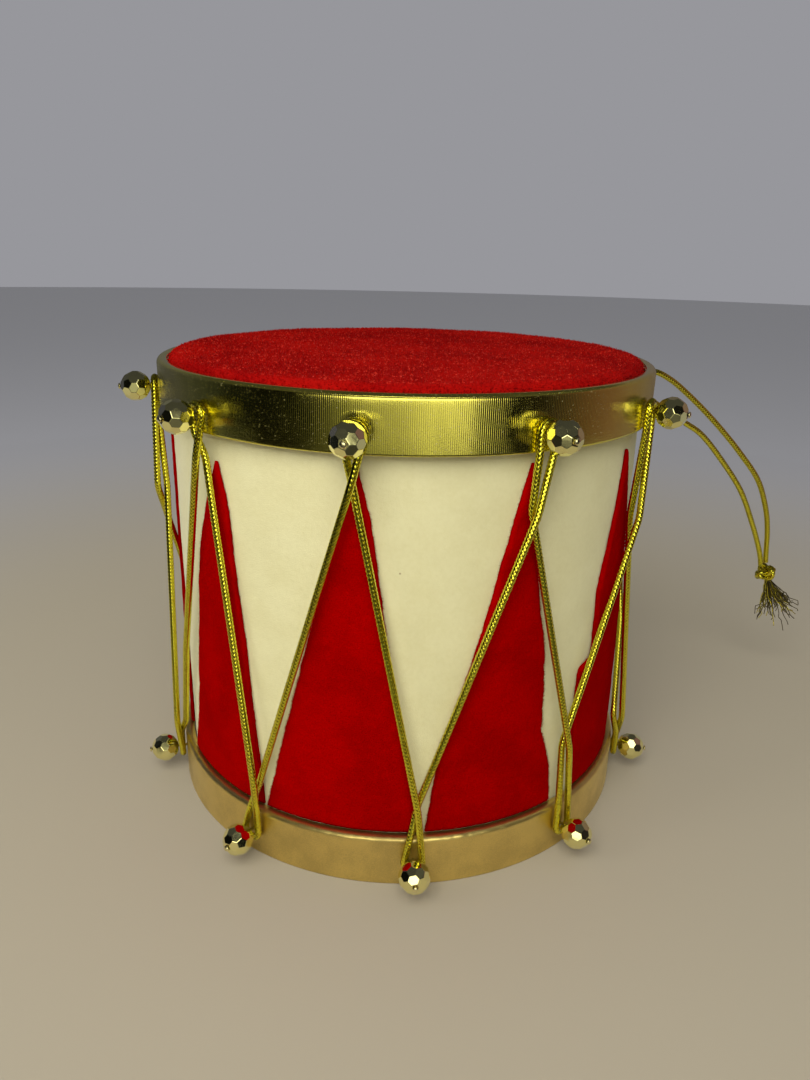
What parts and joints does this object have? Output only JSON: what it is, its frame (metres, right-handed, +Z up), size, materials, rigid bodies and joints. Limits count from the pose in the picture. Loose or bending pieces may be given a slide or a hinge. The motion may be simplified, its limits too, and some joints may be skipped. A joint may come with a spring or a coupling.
{
  "type": "ornament drum",
  "caption": "Small hanging ornament drum: foam body in cream and red velvet, padded head, gold hoops, zigzag gold cord round beaded pins, and a hanging loop.",
  "frame": {"origin": "middle of the face that the drum stands on", "axes": "+Z up through the head, -Y towards the front, +X to the right, the side of the hanging loop"},
  "size_m": [0.226, 0.1555, 0.126],
  "materials": {
    "foam": "closed-cell foam",
    "cream_velvet": "flocked velvet",
    "red_velvet": "flocked velvet",
    "head_velvet": "glittered velvet",
    "card": "plain card",
    "upper_ribbon": "ribbed metallic",
    "lower_ribbon": "satin metallic",
    "gold_bead": "mirror-plated",
    "gold_cord": "braided metallic",
    "pin_metal": "polished"
  },
  "bodies": {
    "drum": {"foam_core": "foam", "head_pad": "foam", "cream_wrap": "cream_velvet", "head_cloth": "head_velvet", "base_card": "card", "base_cloth": "red_velvet", "upper_pin_band": "card", "lower_pin_band": "card", "upper_hoop_ribbon": "upper_ribbon", "lower_hoop_ribbon": "lower_ribbon", "lacing_cord": "gold_cord", "lacing_knot": "gold_cord", "red_panel_01": "red_velvet", "red_panel_02": "red_velvet", "red_panel_03": "red_velvet", "red_panel_04": "red_velvet", "red_panel_05": "red_velvet", "red_panel_06": "red_velvet", "red_panel_07": "red_velvet", "red_panel_08": "red_velvet", "red_panel_09": "red_velvet", "red_panel_10": "red_velvet"},
    "bead_top_01": {"bead_top_01": "gold_bead"},
    "bead_top_02": {"bead_top_02": "gold_bead"},
    "bead_top_03": {"bead_top_03": "gold_bead"},
    "bead_top_04": {"bead_top_04": "gold_bead"},
    "bead_top_05": {"bead_top_05": "gold_bead"},
    "bead_top_06": {"bead_top_06": "gold_bead"},
    "bead_top_07": {"bead_top_07": "gold_bead"},
    "bead_top_08": {"bead_top_08": "gold_bead"},
    "bead_top_09": {"bead_top_09": "gold_bead"},
    "bead_top_10": {"bead_top_10": "gold_bead"},
    "bead_bottom_01": {"bead_bottom_01": "gold_bead"},
    "bead_bottom_02": {"bead_bottom_02": "gold_bead"},
    "bead_bottom_03": {"bead_bottom_03": "gold_bead"},
    "bead_bottom_04": {"bead_bottom_04": "gold_bead"},
    "bead_bottom_05": {"bead_bottom_05": "gold_bead"},
    "bead_bottom_06": {"bead_bottom_06": "gold_bead"},
    "bead_bottom_07": {"bead_bottom_07": "gold_bead"},
    "bead_bottom_08": {"bead_bottom_08": "gold_bead"},
    "bead_bottom_09": {"bead_bottom_09": "gold_bead"},
    "bead_bottom_10": {"bead_bottom_10": "gold_bead"},
    "hanger": {"hanger_eye": "gold_cord", "hanger_strand_a": "gold_cord", "hanger_strand_b": "gold_cord", "hanger_knot": "gold_cord", "hanger_fringe": "gold_cord"}
  },
  "joints": [
    {"name": "bead_top_01_spin", "type": "hinge", "parent": "drum", "child": "bead_top_01", "pos_m": [-0.07214, -0.01272, 0.1147], "axis": [-0.9848, -0.1736, 0], "continuous": true},
    {"name": "bead_top_02_spin", "type": "hinge", "parent": "drum", "child": "bead_top_02", "pos_m": [-0.05052, -0.05305, 0.1147], "axis": [-0.6896, -0.7242, 0], "continuous": true},
    {"name": "bead_top_03_spin", "type": "hinge", "parent": "drum", "child": "bead_top_03", "pos_m": [-0.01133, -0.07237, 0.1147], "axis": [-0.1547, -0.988, 0], "continuous": true},
    {"name": "bead_top_04_spin", "type": "hinge", "parent": "drum", "child": "bead_top_04", "pos_m": [0.03303, -0.06539, 0.1147], "axis": [0.4509, -0.8926, 0], "continuous": true},
    {"name": "bead_top_05_spin", "type": "hinge", "parent": "drum", "child": "bead_top_05", "pos_m": [0.06426, -0.03518, 0.1147], "axis": [0.8771, -0.4802, 0], "continuous": true},
    {"name": "bead_top_06_spin", "type": "hinge", "parent": "drum", "child": "bead_top_06", "pos_m": [0.07176, 0.02332, 0.1147], "axis": [0.9511, 0.309, 0], "continuous": true},
    {"name": "bead_top_07_spin", "type": "hinge", "parent": "drum", "child": "bead_top_07", "pos_m": [0.0451, 0.05773, 0.1147], "axis": [0.6157, 0.788, 0], "continuous": true},
    {"name": "bead_top_08_spin", "type": "hinge", "parent": "drum", "child": "bead_top_08", "pos_m": [0.00511, 0.07308, 0.1147], "axis": [0.0698, 0.9976, 0], "continuous": true},
    {"name": "bead_top_09_spin", "type": "hinge", "parent": "drum", "child": "bead_top_09", "pos_m": [-0.03718, 0.06312, 0.1147], "axis": [-0.5075, 0.8616, 0], "continuous": true},
    {"name": "bead_top_10_spin", "type": "hinge", "parent": "drum", "child": "bead_top_10", "pos_m": [-0.06639, 0.03096, 0.1147], "axis": [-0.9063, 0.4226, 0], "continuous": true},
    {"name": "bead_bottom_01_spin", "type": "hinge", "parent": "drum", "child": "bead_bottom_01", "pos_m": [-0.07006, -0.02142, 0.0078], "axis": [-0.9563, -0.2924, 0], "continuous": true},
    {"name": "bead_bottom_02_spin", "type": "hinge", "parent": "drum", "child": "bead_bottom_02", "pos_m": [-0.04033, -0.06116, 0.0078], "axis": [-0.5505, -0.8348, 0], "continuous": true},
    {"name": "bead_bottom_03_spin", "type": "hinge", "parent": "drum", "child": "bead_bottom_03", "pos_m": [0.0046, -0.07311, 0.0078], "axis": [0.0628, -0.998, 0], "continuous": true},
    {"name": "bead_bottom_04_spin", "type": "hinge", "parent": "drum", "child": "bead_bottom_04", "pos_m": [0.04709, -0.05612, 0.0078], "axis": [0.6428, -0.766, 0], "continuous": true},
    {"name": "bead_bottom_05_spin", "type": "hinge", "parent": "drum", "child": "bead_bottom_05", "pos_m": [0.07157, -0.01561, 0.0078], "axis": [0.977, -0.213, 0], "continuous": true},
    {"name": "bead_bottom_06_spin", "type": "hinge", "parent": "drum", "child": "bead_bottom_06", "pos_m": [0.06763, 0.02815, 0.0078], "axis": [0.9232, 0.3843, 0], "continuous": true},
    {"name": "bead_bottom_07_spin", "type": "hinge", "parent": "drum", "child": "bead_bottom_07", "pos_m": [0.03936, 0.06178, 0.0078], "axis": [0.5373, 0.8434, 0], "continuous": true},
    {"name": "bead_bottom_08_spin", "type": "hinge", "parent": "drum", "child": "bead_bottom_08", "pos_m": [-0.00307, 0.07319, 0.0078], "axis": [-0.0419, 0.9991, 0], "continuous": true},
    {"name": "bead_bottom_09_spin", "type": "hinge", "parent": "drum", "child": "bead_bottom_09", "pos_m": [-0.04439, 0.05827, 0.0078], "axis": [-0.606, 0.7955, 0], "continuous": true},
    {"name": "bead_bottom_10_spin", "type": "hinge", "parent": "drum", "child": "bead_bottom_10", "pos_m": [-0.06975, 0.02239, 0.0078], "axis": [-0.9521, 0.3057, 0], "continuous": true},
    {"name": "hanger_swing", "type": "hinge", "parent": "drum", "child": "hanger", "pos_m": [0.067, 0.02177, 0.1147], "axis": [0.9511, 0.309, 0], "range_deg": [-170, 170]}
  ]
}
